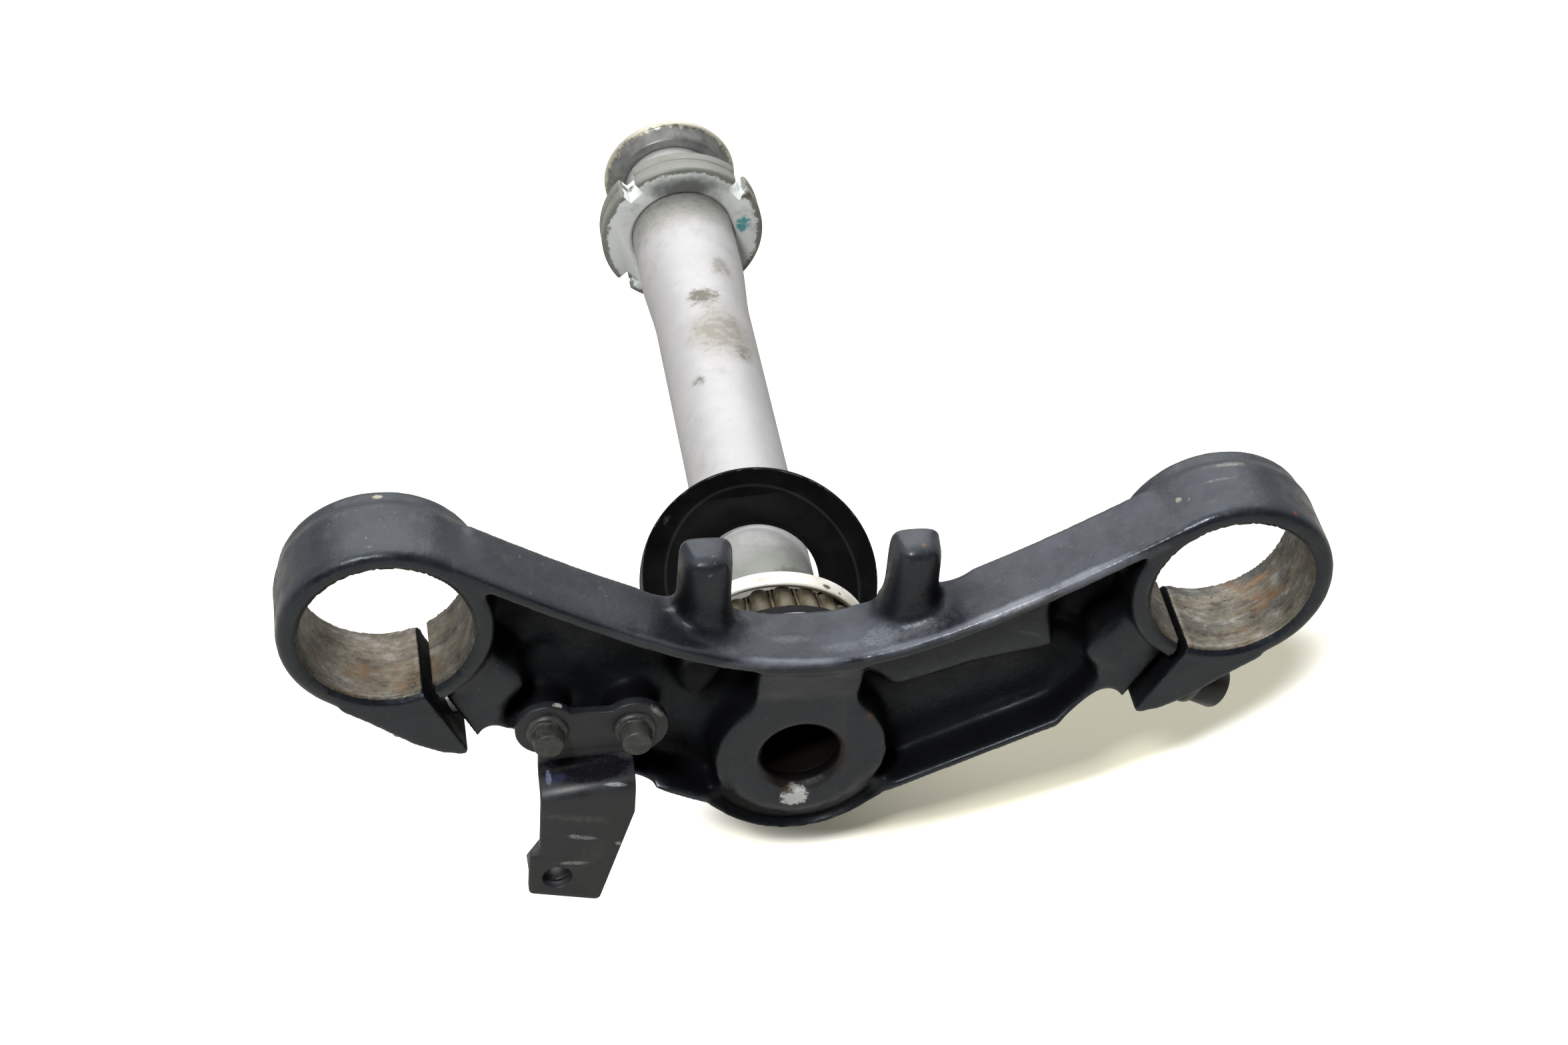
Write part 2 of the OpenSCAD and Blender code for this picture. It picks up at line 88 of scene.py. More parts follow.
def placeLamp(name, lamp):
    data = bpy.data.lights.new(name, "AREA")
    data.shape = "RECTANGLE"
    data.size, data.size_y = lamp["size"]
    data.energy = lamp["watts"]
    obj = bpy.data.objects.new(name, data)
    scene.collection.objects.link(obj)
    obj.location = lamp["place"]
    beam = Vector(lamp["aim"]) - Vector(lamp["place"])
    obj.rotation_euler = beam.to_track_quat("-Z", "Y").to_euler()
    return obj


lamps = {name: placeLamp(name, lamp) for name, lamp in lampSet.items()}
print("lamps placed")


# node helpers. Scales count features per metre in the part's own frame
def put(tree, kind, **values):
    node = tree.nodes.new(kind)
    for key, value in values.items():
        setattr(node, key, value)
    return node


def join(tree, source, target):
    tree.links.new(source, target)


def startMaterial(name):
    mat = bpy.data.materials.new(name)
    mat.use_nodes = True
    tree = mat.node_tree
    place = put(tree, "ShaderNodeTexCoord")
    return mat, tree, tree.nodes["Principled BSDF"], place.outputs["Object"]


def noise(tree, place, scale, detail=4, rough=0.6):
    # scale is one number, or one for each axis where the noise is stretched
    if isinstance(scale, tuple):
        mapping = put(tree, "ShaderNodeMapping")
        mapping.inputs["Scale"].default_value = scale
        join(tree, place, mapping.inputs["Vector"])
        place = mapping.outputs[0]
        scale = 1
    node = put(tree, "ShaderNodeTexNoise")
    node.inputs["Scale"].default_value = scale
    node.inputs["Detail"].default_value = detail
    node.inputs["Roughness"].default_value = rough
    join(tree, place, node.inputs["Vector"])
    return node.outputs["Fac"]


def ramp(tree, value, low, high, start=0.0, end=1.0, curve="SMOOTHSTEP"):
    node = put(tree, "ShaderNodeMapRange", interpolation_type=curve)
    node.inputs["From Min"].default_value = low
    node.inputs["From Max"].default_value = high
    node.inputs["To Min"].default_value = start
    node.inputs["To Max"].default_value = end
    join(tree, value, node.inputs["Value"])
    return node.outputs["Result"]


def layer(tree, place, look, start=0.0, end=1.0):
    # look: scale, detail and roughness of a noise, and where in it the layer starts and is full
    scale, detail, rough, low, high = look
    return ramp(tree, noise(tree, place, scale, detail, rough), low, high, start, end)


def maths(tree, operation, a, b):
    node = put(tree, "ShaderNodeMath", operation=operation)
    for slot, value in ((0, a), (1, b)):
        if isinstance(value, (int, float)):
            node.inputs[slot].default_value = value
        else:
            join(tree, value, node.inputs[slot])
    return node.outputs[0]


def times(tree, value, *others):
    for other in others:
        value = maths(tree, "MULTIPLY", value, other)
    return value


def blend(tree, factor, a, b):
    node = put(tree, "ShaderNodeMix", data_type="RGBA")
    for socket, value in ((node.inputs[0], factor), (node.inputs[6], a), (node.inputs[7], b)):
        if isinstance(value, (int, float)):
            socket.default_value = value
        elif isinstance(value, tuple):
            socket.default_value = (*value, 1)
        else:
            join(tree, value, socket)
    return node.outputs[2]


def edgeMask(tree, radius, low, high):
    # 1 on worn edges: where the normal, softened over the radius, leans away from the true one
    soft = put(tree, "ShaderNodeBevel", samples=4)
    soft.inputs["Radius"].default_value = radius
    hard = put(tree, "ShaderNodeNewGeometry")
    dot = put(tree, "ShaderNodeVectorMath", operation="DOT_PRODUCT")
    join(tree, soft.outputs[0], dot.inputs[0])
    join(tree, hard.outputs["Normal"], dot.inputs[1])
    return ramp(tree, dot.outputs["Value"], high, low)


def cavityMask(tree, distance, low, high):
    # 1 deep in pockets and corners
    node = put(tree, "ShaderNodeAmbientOcclusion", samples=6, only_local=True)
    node.inputs["Distance"].default_value = distance
    return ramp(tree, node.outputs["AO"], low, high, 1, 0)


def bump(tree, shader, height, strength, distance):
    node = put(tree, "ShaderNodeBump")
    node.inputs["Strength"].default_value = strength
    node.inputs["Distance"].default_value = distance
    join(tree, height, node.inputs["Height"])
    join(tree, node.outputs[0], shader.inputs["Normal"])


def vectorMaths(tree, operation, a, b):
    node = put(tree, "ShaderNodeVectorMath", operation=operation)
    join(tree, a, node.inputs[0])
    node.inputs[1].default_value = b
    return node.outputs[0]


def lengthOf(tree, vector):
    node = put(tree, "ShaderNodeVectorMath", operation="LENGTH")
    join(tree, vector, node.inputs[0])
    return node.outputs["Value"]


def split(tree, vector):
    node = put(tree, "ShaderNodeSeparateXYZ")
    join(tree, vector, node.inputs[0])
    return node.outputs


def axisDistance(tree, place, x=0, y=0):
    away = vectorMaths(tree, "SUBTRACT", place, (x, y, 0))
    return lengthOf(tree, vectorMaths(tree, "MULTIPLY", away, (1, 1, 0)))


def reachOf(tree, place, centre, half, turn=0, axis="Z_AXIS"):
    # distance from a centre, where 1 is the skin of an ellipsoid with these half sizes
    spot = vectorMaths(tree, "SUBTRACT", place, centre)
    rotate = put(tree, "ShaderNodeVectorRotate", rotation_type=axis)
    rotate.inputs["Angle"].default_value = math.radians(turn)
    join(tree, spot, rotate.inputs["Vector"])
    return lengthOf(tree, vectorMaths(tree, "DIVIDE", rotate.outputs[0], half))


def shakeOf(tree, place, scale, level):
    # moves an outline in and out, so that it comes out ragged
    return times(tree, maths(tree, "SUBTRACT", noise(tree, place, scale, detail=5, rough=0.7), 0.5), level)


# marks are ragged spots: each has its centre and half sizes in mm, turn about Z in degrees, colour, strength
markEdge = {"full": 0.35, "gone": 1.2}
patchySet = {"scale": (700, 900, 1500), "detail": 6, "rough": 0.75, "low": 0.36, "high": 0.6, "least": 0.15}


def patchyOf(tree, place, scale=patchySet["scale"]):
    look = (scale, patchySet["detail"], patchySet["rough"], patchySet["low"], patchySet["high"])
    return layer(tree, place, look, patchySet["least"], 1)


def addMarks(tree, place, colour, marks, shake, patchy=None):
    for centre, half, turn, tone, strength in marks:
        reach = maths(tree, "ADD", reachOf(tree, place, metres(centre), metres(half), -turn), shake)
        factor = ramp(tree, reach, markEdge["full"], markEdge["gone"], strength, 0)
        if patchy is not None:
            factor = times(tree, factor, patchy)
        colour = blend(tree, maths(tree, "MINIMUM", factor, 1), colour, tone)
    return colour


# the room is dark at the photographer's side (-Z) and bright at the far side, and white to the camera
roomLevel = {"dark": 0.03, "sky": 0.75, "fade": (-0.6, 0.35), "seen": 1.0}


def buildRoom(level):
    world = bpy.data.worlds.new("room")
    scene.world = world
    world.use_nodes = True
    tree = world.node_tree
    tree.nodes.clear()
    out = put(tree, "ShaderNodeOutputWorld")
    path = put(tree, "ShaderNodeLightPath")
    place = put(tree, "ShaderNodeTexCoord")
    height = split(tree, place.outputs["Generated"])["Z"]
    room = put(tree, "ShaderNodeBackground")
    join(tree, ramp(tree, height, *level["fade"], level["dark"], level["sky"]), room.inputs["Strength"])
    white = put(tree, "ShaderNodeBackground")
    white.inputs["Strength"].default_value = level["seen"]
    mix = put(tree, "ShaderNodeMixShader")
    join(tree, path.outputs["Is Camera Ray"], mix.inputs["Fac"])
    join(tree, room.outputs[0], mix.inputs[1])
    join(tree, white.outputs[0], mix.inputs[2])
    join(tree, mix.outputs[0], out.inputs["Surface"])


buildRoom(roomLevel)

# the table lies behind the part. It shows white with its shadow kept, and its mirror image and the light
# that it throws back have levels of their own
tableSet = {
    "half": 1.3, "gap": 0.0445, "tiltX": 0.06, "tiltZ": -0.03,
    "seen": 0.96, "stain": (-0.05, 0.04), "stainNoise": (7, 6, 0.5), "tint": (1, 0.965, 0.76),
    "mirrored": 0.32, "bounce": 0.08,
    "shadowAt": (0.077, 0.041, 0.0505), "shadowHalf": (0.105, 0.3, 0.029), "shadowTurn": 15,
    "shadowEdge": (0.8, 1.07), "shadowGlow": 0.02,
}


def tableWhite(table):
    mat = bpy.data.materials.new("tableWhite")
    mat.use_nodes = True
    tree = mat.node_tree
    tree.nodes.clear()
    out = put(tree, "ShaderNodeOutputMaterial")
    path = put(tree, "ShaderNodeLightPath")
    place = put(tree, "ShaderNodeTexCoord").outputs["Object"]
    low, high = (table["seen"] + stain for stain in table["stain"])
    tone = ramp(tree, noise(tree, place, *table["stainNoise"]), 0, 1, low, high, "LINEAR")
    mirrored = times(tree, path.outputs["Is Glossy Ray"], table["mirrored"])
    seen = maths(tree, "MAXIMUM", path.outputs["Is Camera Ray"], mirrored)
    # the table throws back less light than it shows, so the part's rear faces stay dark
    level = put(tree, "ShaderNodeMix", data_type="FLOAT")
    join(tree, seen, level.inputs[0])
    level.inputs[2].default_value = table["bounce"]
    join(tree, tone, level.inputs[3])
    matt = put(tree, "ShaderNodeBsdfDiffuse")
    join(tree, blend(tree, level.outputs[0], (0, 0, 0), table["tint"]), matt.inputs["Color"])
    # plain white beyond the shadow under the right arm
    reach = reachOf(tree, place, table["shadowAt"], table["shadowHalf"], table["shadowTurn"], "Y_AXIS")
    glow = put(tree, "ShaderNodeEmission")
    lift = ramp(tree, reach, *table["shadowEdge"], table["shadowGlow"], 1)
    join(tree, times(tree, seen, lift), glow.inputs["Strength"])
    both = put(tree, "ShaderNodeAddShader")
    join(tree, matt.outputs[0], both.inputs[0])
    join(tree, glow.outputs[0], both.inputs[1])
    # the back of the table is clear, so the part shows from every side
    side = put(tree, "ShaderNodeNewGeometry")
    clear = put(tree, "ShaderNodeBsdfTransparent")
    mix = put(tree, "ShaderNodeMixShader")
    join(tree, side.outputs["Backfacing"], mix.inputs["Fac"])
    join(tree, both.outputs[0], mix.inputs[1])
    join(tree, clear.outputs[0], mix.inputs[2])
    join(tree, mix.outputs[0], out.inputs["Surface"])
    return mat


def buildTable(table):
    half = table["half"]
    corners = []
    for x, z in ((-half, -half), (half, -half), (half, half), (-half, half)):
        corners.append((x, table["gap"] - table["tiltX"]*x - table["tiltZ"]*z, z))
    mesh = bpy.data.meshes.new("table")
    mesh.from_pydata(corners, [], [(0, 1, 2, 3)])
    obj = bpy.data.objects.new("table", mesh)
    scene.collection.objects.link(obj)
    mesh.materials.append(tableWhite(table))
    # two of the wide lamps light the part only, so the table keeps the key lamp's shadow
    group = bpy.data.collections.new("unlitTable")
    group.objects.link(obj)
    group.collection_objects[0].light_linking.link_state = "EXCLUDE"
    for name in ("far", "side"):
        lamps[name].light_linking.receiver_collection = group


buildTable(tableSet)
print("room and table built")


# the yoke's satin paint. Layers are scale, detail, roughness, start and full; radii are in metres
yokePaintSet = {
    "dark": (0.0115, 0.0138, 0.0185), "light": (0.02, 0.0235, 0.031), "cloud": (55, 6, 0.6, 0.3, 0.72),
    "rough": (0.24, 0.47), "gloss": (95, 8, 0.72, 0.34, 0.66), "dullRough": 0.18,
    "tint": (0.85, 0.92, 1), "shine": 0.56, "shineLoss": 0.5,
    "dust": (0.26, 0.25, 0.23), "film": ((144, 52.8, 96), 8, 0.7, 0.54, 0.75), "filmLevel": 0.1,
    "dots": (900, 2, 0.5, 0.7, 0.76), "dotLevel": 0.35,
    "sheenShake": (130, 1.2), "markShake": (600, 1.9),
    "rust": (0.16, 0.07, 0.03), "spots": (520, 3, 0.5, 0.7, 0.76), "spotPlaces": (40, 3, 0.6, 0.5, 0.6),
    "bare": (0.6, 0.6, 0.58), "edge": (0.0009, 0.78, 0.95), "chips": (260, 5, 0.65, 0.54, 0.62),
    "chipPlaces": (24, 2, 0.6, 0.45, 0.6), "wearLevel": 0.7, "bareMetal": 0.6,
    "ring": (0.0122, 0.0132), "ringRust": (0.028, 0.015, 0.01), "ringPatches": (180, 5, 0.7, 0.42, 0.56),
    "ringLevel": (0.3, 0.9),
    "grimeAndShade": (0.0035, 0.0035, 0.004), "cavity": (0.045, 0.63, 0.9), "grimeLevel": 0.92,
    "grain": (1100, 3), "grainHeight": 0.5, "lumps": (170, 4, 0.55), "lumpHeight": 3.4, "boreHeight": 1.2,
    "bump": (0.5, 0.00016),
}
# marks that the photograph shows: rust, chips, dust and pale patches; two near-black ones make the pad darker
# at its rear
yokeMarks = [
    ((-0.8, 14.2, 5), (3.6, 3.0, 5), 0, (0.97, 0.97, 0.95), 8),
    ((-2.8, 12.4, 5), (2.2, 1.4, 4), 0, (0.1, 0.045, 0.02), 1.5),
    ((17.3, -13.5, 5), (2.2, 1.8, 2), 0, (0.11, 0.055, 0.03), 1.2),
    ((0, 4, 5), (13.4, 10, 1.6), 0, (0.02, 0.013, 0.01), 1),
    ((-14, 18, 5), (6, 2.2, 5), -35, (0.006, 0.005, 0.005), 3),
    ((12, 19, 5), (6, 2, 5), 35, (0.006, 0.005, 0.005), 2),
    ((-5.7, -38, 9.5), (5.5, 2, 1.5), 0, (0.075, 0.08, 0.09), 1.2),
    ((9.2, -38.3, 5.4), (7.5, 2, 2), 0, (0.09, 0.1, 0.115), 1.2),
    ((17.8, -40.2, 6.2), (6, 2.4, 4), -10, (0.12, 0.13, 0.15), 1.6),
    ((28, -43.5, 4.4), (7, 2.6, 2.8), -18, (0.1, 0.105, 0.12), 1.4),
    ((50, -52.4, 0.5), (10, 1.2, 0.6), -25, (0.4, 0.41, 0.43), 1.2),
    ((-28.5, -64.4, 8.3), (6.4, 2.4, 0.36), 0, (0.42, 0.43, 0.45), 1.8),
    ((25.6, -64.4, 8.4), (7, 2.8, 0.5), 0, (0.08, 0.055, 0.04), 1.8),
    ((28, -64.2, 12), (0.9, 2, 0.9), 0, (0.2, 0.12, 0.06), 1.5),
    ((31.1, -50.3, 8), (5, 1.2, 1.4), 0, (0.045, 0.032, 0.024), 1.2),
    ((-34.9, -46.2, 13.4), (4.4, 2.0, 1.2), -20, (0.25, 0.26, 0.28), 1.6),
    ((121, -78.7, 2), (0.9, 0.9, 0.9), 0, (0.12, 0.03, 0.025), 2),
    ((-108.5, -80.9, 23.2), (1.5, 1, 0.8), 0, (0.4, 0.35, 0.27), 3),
    ((107.4, -82, 18.7), (4.5, 1.4, 0.9), 0, (0.2, 0.19, 0.16), 1),
    ((102.5, -81.4, 13.4), (6, 1.4, 0.5), 5, (0.14, 0.135, 0.12), 0.9),
    ((92.7, -77.2, 11.2), (0.9, 1, 0.9), 0, (0.25, 0.22, 0.17), 2),
    ((-88.4, -46.4, 2.7), (1.3, 1.0, 1.0), 0, (0.6, 0.6, 0.58), 4),
    ((57, -37, 8), (5, 0.8, 2), 20, (0.09, 0.09, 0.095), 1),
    ((75.5, -37.5, 9), (1.5, 1.3, 1.6), 0, (0.07, 0.05, 0.035), 1.2),
]
# painted highlights: smooth paler bands where the rounded lips and front faces catch the light
yokePaintedHighlights = [
    ((50, -52.4, 1.0), (20, 2.2, 1.9), -25, (0.2, 0.21, 0.24), 1),
    ((72, -63.2, 1.0), (18, 2.2, 1.8), -27, (0.21, 0.22, 0.25), 1),
    ((24, -42, 1.0), (14, 2.2, 1.6), -17, (0.15, 0.16, 0.19), 0.9),
    ((-10, -38.2, 1.0), (22, 2, 1.5), 3, (0.16, 0.17, 0.2), 0.9),
    ((-45, -49, 1.0), (18, 2, 1.3), 23, (0.06, 0.066, 0.08), 0.7),
    ((62, -57, 17), (30, 3, 5), -26, (0.035, 0.039, 0.048), 0.8),
    ((15, -39.5, 8), (16, 3, 7), -8, (0.055, 0.06, 0.074), 0.8),
    ((-60, -56, 8), (26, 3, 6), 26, (0.03, 0.034, 0.042), 0.6),
    ((0, -28, 3), (12, 8, 3), 0, (0.035, 0.037, 0.04), 0.7),
    ((26.8, -66, 12), (7, 3, 5), 0, (0.035, 0.037, 0.042), 0.8),
]
# painted shade where faces never catch the light, in mm: the groove behind the stem's hole, and the left web
yokeShadedPlaces = {
    "groove": (19.2, 21.4, 27.5, 29), "grooveRear": (4, 13), "grooveTop": (9, 11), "grooveSides": (-4, 20),
    "grooveLevel": (0.95, 0.45), "shake": (150, 0.0025),
    "webAt": (-28, -27, 8), "webHalf": (6.5, 7.5, 2.6), "webEdge": (0.75, 1.1), "webLevel": 0.85,
}
# the clamps' bare turned bores; the skin is their radius with the paint's edge, in metres
boreSet = {
    "skin": 0.02185, "skinEdge": 0.0001, "skinShake": (300, 0.0006),
    "grey": (0.13, 0.125, 0.112), "tan": (0.21, 0.185, 0.14), "bands": ((16, 16, 330), 7, 0.68, 0.36, 0.62),
    "pale": (0.42, 0.41, 0.37), "lines": ((30, 30, 1500), 5, 0.7), "lineRange": (0.5, 0.72), "lineLevel": 0.3,
    "blotch": ((120, 120, 210), 9, 0.78), "paleRange": (0.5, 0.66), "paleLevel": 0.7,
    "pit": (0.04, 0.035, 0.03), "pitRange": (0.36, 0.5), "pitLevel": 0.75,
    "pits": (480, 4, 0.6, 0.64, 0.7), "pitPlaces": (46, 2, 0.6, 0.48, 0.6),
    "rust": (0.2, 0.11, 0.05), "stain": ((40, 40, 70), 6, 0.7, 0.54, 0.68), "stainLevel": 0.75,
    "shade": (0.05, 0.035, 0.02), "shadeLevel": 0.3, "shadeFade": 0.01, "markShake": (500, 1.4),
}
boreMarks = [
    ((123.5, -40, 20.4), (4, 4, 1.2), 40, (0.45, 0.2, 0.06), 0.7),
    ((115.5, -34.9, 18.3), (1.6, 1.6, 0.8), 0, (0.05, 0.04, 0.03), 0.9),
    ((119, -36.5, 15.5), (1.2, 1.2, 0.6), 0, (0.05, 0.04, 0.03), 0.9),
    ((121, -37.8, 13.3), (1.8, 1.8, 0.7), 0, (0.06, 0.04, 0.03), 0.8),
    ((117.1, -34.9, 1.1), (9, 3, 1.2), 0, (0.14, 0.08, 0.04), 0.7),
    ((-104.3, -33.9, 12.1), (3, 2, 4), 0, (0.14, 0.09, 0.05), 0.6),
    ((-111.7, -32.1, 0.6), (8, 2.5, 1.4), 0, (0.1, 0.06, 0.03), 0.7),
]


def forkBore(tree, place, bore):
    # bare metal in both clamps: its mask, colour and relief
    x, y = split(tree, place)[:2]
    away = put(tree, "ShaderNodeCombineXYZ")
    join(tree, maths(tree, "ABSOLUTE", x, 0), away.inputs[0])
    join(tree, y, away.inputs[1])
    radius = axisDistance(tree, away.outputs[0], *forkClamp["pos_m"][:2])
    ragged = maths(tree, "ADD", radius, shakeOf(tree, place, *bore["skinShake"]))
    mask = ramp(tree, ragged, bore["skin"] - bore["skinEdge"], bore["skin"] + bore["skinEdge"], 1, 0)
    lines = noise(tree, place, *bore["lines"])
    colour = blend(tree, layer(tree, place, bore["bands"]), bore["grey"], bore["tan"])
    colour = blend(tree, ramp(tree, lines, *bore["lineRange"], 0, bore["lineLevel"]), colour, bore["pale"])
    blotch = noise(tree, place, *bore["blotch"])
    colour = blend(tree, ramp(tree, blotch, *bore["paleRange"], 0, bore["paleLevel"]), colour, bore["pale"])
    colour = blend(tree, ramp(tree, blotch, *bore["pitRange"], bore["pitLevel"], 0), colour, bore["pit"])
    colour = blend(tree, layer(tree, place, bore["stain"], 0, bore["stainLevel"]), colour, bore["rust"])
    pits = times(tree, layer(tree, place, bore["pits"]), layer(tree, place, bore["pitPlaces"]))
    colour = blend(tree, pits, colour, bore["pit"])
    # the left bore is in shade
    left = ramp(tree, x, -bore["shadeFade"], bore["shadeFade"], bore["shadeLevel"], 0)
    colour = blend(tree, left, colour, bore["shade"])
    colour = addMarks(tree, place, colour, boreMarks, shakeOf(tree, place, *bore["markShake"]), lines)
    return mask, colour, maths(tree, "SUBTRACT", lines, pits)


def shadedPlaces(tree, place, dull):
    x, y, z = split(tree, place)
    ring = maths(tree, "ADD", axisDistance(tree, place), shakeOf(tree, place, *dull["shake"]))
    start, full, fade, end = metres(dull["groove"])
    groove = times(tree, ramp(tree, ring, start, full), ramp(tree, ring, fade, end, 1, 0),
                   ramp(tree, y, *metres(dull["grooveRear"])),
                   ramp(tree, z, *metres(dull["grooveTop"]), 1, 0),
                   ramp(tree, x, *metres(dull["grooveSides"]), *dull["grooveLevel"]))
    web = reachOf(tree, place, metres(dull["webAt"]), metres(dull["webHalf"]))
    return maths(tree, "MAXIMUM", groove, ramp(tree, web, *dull["webEdge"], dull["webLevel"], 0))


def yokePaint(paint, bore):
    mat, tree, shader, place = startMaterial("yokePaint")
    colour = blend(tree, layer(tree, place, paint["cloud"]), paint["dark"], paint["light"])
    colour = blend(tree, layer(tree, place, paint["film"], 0, paint["filmLevel"]), colour, paint["dust"])
    colour = blend(tree, layer(tree, place, paint["dots"], 0, paint["dotLevel"]), colour, paint["dust"])
    spots = times(tree, layer(tree, place, paint["spots"]), layer(tree, place, paint["spotPlaces"]))
    colour = blend(tree, spots, colour, paint["rust"])
    chips = times(tree, layer(tree, place, paint["chips"]), layer(tree, place, paint["chipPlaces"]))
    wear = times(tree, edgeMask(tree, *paint["edge"]), chips)
    colour = blend(tree, times(tree, wear, paint["wearLevel"]), colour, paint["bare"])
    # rust on the rim of the stem's hole
    rim = ramp(tree, axisDistance(tree, place), *paint["ring"], 1, 0)
    rim = times(tree, rim, layer(tree, place, paint["ringPatches"], *paint["ringLevel"]))
    colour = blend(tree, rim, colour, paint["ringRust"])
    # painted highlights where the lips and front faces catch the light
    colour = addMarks(tree, place, colour, yokePaintedHighlights, shakeOf(tree, place, *paint["sheenShake"]))
    colour = addMarks(tree, place, colour, yokeMarks, shakeOf(tree, place, *paint["markShake"]),
                      patchyOf(tree, place))
    # painted shade, partly grime: pockets, corners and the shaded places go near black and lose their shine
    deep = maths(tree, "MAXIMUM", cavityMask(tree, *paint["cavity"]), shadedPlaces(tree, place, yokeShadedPlaces))
    colour = blend(tree, times(tree, deep, paint["grimeLevel"]), colour, paint["grimeAndShade"])
    bare, metal, relief = forkBore(tree, place, bore)
    join(tree, blend(tree, bare, colour, metal), shader.inputs["Base Color"])
    join(tree, times(tree, maths(tree, "MAXIMUM", bare, wear), paint["bareMetal"]), shader.inputs["Metallic"])
    dullness = times(tree, maths(tree, "MAXIMUM", deep, bare), paint["dullRough"])
    join(tree, maths(tree, "ADD", layer(tree, place, paint["gloss"], *paint["rough"]), dullness),
         shader.inputs["Roughness"])
    join(tree, maths(tree, "SUBTRACT", paint["shine"], times(tree, deep, paint["shineLoss"])),
         shader.inputs["Specular IOR Level"])
    shader.inputs["Specular Tint"].default_value = (*paint["tint"], 1)
    surface = times(tree, noise(tree, place, *paint["grain"]), paint["grainHeight"])
    for height, level in ((noise(tree, place, *paint["lumps"]), paint["lumpHeight"]),
                          (times(tree, relief, bare), paint["boreHeight"])):
        surface = maths(tree, "ADD", surface, times(tree, height, level))
    bump(tree, shader, surface, *paint["bump"])
    return mat


# steel finishes: two tones along a streak, how metallic and rough, grime (and painted shade in corners)
# and rust. Some have a worn edge's colour, a rim (radius, colour, level) or a lip (radius, colour) about the
# stem's axis, a bore's radius inside which shade is painted (inside), or their own scale for patchy marks
# (patch)
steelSet = {
    "stemSteel": {
        "a": (0.49, 0.482, 0.485), "b": (0.55, 0.542, 0.545), "metal": 0.25, "rough": (0.48, 0.56),
        "streak": (50, 50, 70), "grimeAndShade": (0.22, 0.21, 0.18), "grimeLevel": 0.3, "rust": 0.1,
        "inside": 0.0112, "patch": (260, 260, 330),
    },
    "sealWasherSteel": {
        "a": (0.3, 0.3, 0.28), "b": (0.5, 0.5, 0.47), "metal": 0.7, "rough": (0.4, 0.55),
        "streak": (200, 200, 200), "grimeAndShade": (0.12, 0.1, 0.08), "grimeLevel": 0.6, "rust": 0.2,
    },
    "raceSteel": {
        "a": (0.02, 0.019, 0.018), "b": (0.05, 0.048, 0.044), "metal": 0.3, "rough": (0.35, 0.5),
        "streak": (90, 90, 900), "grimeAndShade": (0.1, 0.07, 0.04), "grimeLevel": 0.7, "rust": 0.3,
    },
    "rollerSteel": {
        "a": (0.085, 0.07, 0.042), "b": (0.15, 0.13, 0.085), "metal": 0.3, "rough": (0.4, 0.55),
        "streak": (300, 300, 300), "grimeAndShade": (0.12, 0.09, 0.05), "grimeLevel": 0.8, "rust": 0.3,
    },
    "cageSteel": {
        "a": (0.09, 0.075, 0.045), "b": (0.15, 0.13, 0.08), "metal": 0.3, "rough": (0.4, 0.6),
        "streak": (200, 200, 300), "grimeAndShade": (0.07, 0.05, 0.03), "grimeLevel": 0.8, "rust": 0.3,
    },
    "cupSteel": {
        "a": (0.86, 0.83, 0.74), "b": (0.95, 0.93, 0.87), "metal": 0.35, "rough": (0.35, 0.5),
        "streak": (80, 80, 500), "grimeAndShade": (0.3, 0.24, 0.16), "grimeLevel": 0.2, "rust": 0.6,
        "edge": (0.5, 0.46, 0.36), "lip": (0.0252, (0.17, 0.15, 0.085)),
    },
    "nutZinc": {
        "a": (0.9, 0.97, 0.95), "b": (0.97, 0.99, 0.98), "metal": 0.1, "rough": (0.35, 0.5),
        "streak": (140, 140, 140), "grimeAndShade": (0.24, 0.25, 0.21), "grimeLevel": 0.55, "rust": 0.12,
        "edge": (0.13, 0.12, 0.08), "patch": (300, 300, 400), "rim": (0.0239, (0.12, 0.12, 0.09), 0.85),
    },
    "topWasherSteel": {
        "a": (0.14, 0.145, 0.145), "b": (0.24, 0.245, 0.235), "metal": 0.5, "rough": (0.32, 0.5),
        "streak": (160, 160, 160), "grimeAndShade": (0.16, 0.15, 0.12), "grimeLevel": 0.6, "rust": 0.1,
        # painted highlight: the washer's pale rim
        "rim": (0.0203, (0.6, 0.58, 0.47), 1),
    },
    "bracketBoltZinc": {
        "a": (0.055, 0.057, 0.056), "b": (0.12, 0.12, 0.112), "metal": 0.5, "rough": (0.4, 0.55),
        "streak": (400, 400, 400), "grimeAndShade": (0.03, 0.028, 0.025), "grimeLevel": 0.6, "rust": 0.2,
    },
    "pinchBoltSteel": {
        "a": (0.02, 0.02, 0.02), "b": (0.045, 0.045, 0.045), "metal": 0.3, "rough": (0.35, 0.5),
        "streak": (300, 300, 300), "grimeAndShade": (0.02, 0.018, 0.016), "grimeLevel": 0.5, "rust": 0.2,
    },
    "pinchWasherSteel": {
        "a": (0.1, 0.1, 0.1), "b": (0.2, 0.2, 0.19), "metal": 0.6, "rough": (0.35, 0.5),
        "streak": (300, 300, 300), "grimeAndShade": (0.05, 0.045, 0.04), "grimeLevel": 0.6, "rust": 0.2,
    },
    "pinchStudSteel": {
        "a": (0.2, 0.2, 0.2), "b": (0.36, 0.36, 0.34), "metal": 0.7, "rough": (0.35, 0.5),
        "streak": (300, 300, 900), "grimeAndShade": (0.12, 0.1, 0.08), "grimeLevel": 0.6, "rust": 0.3,
    },
}
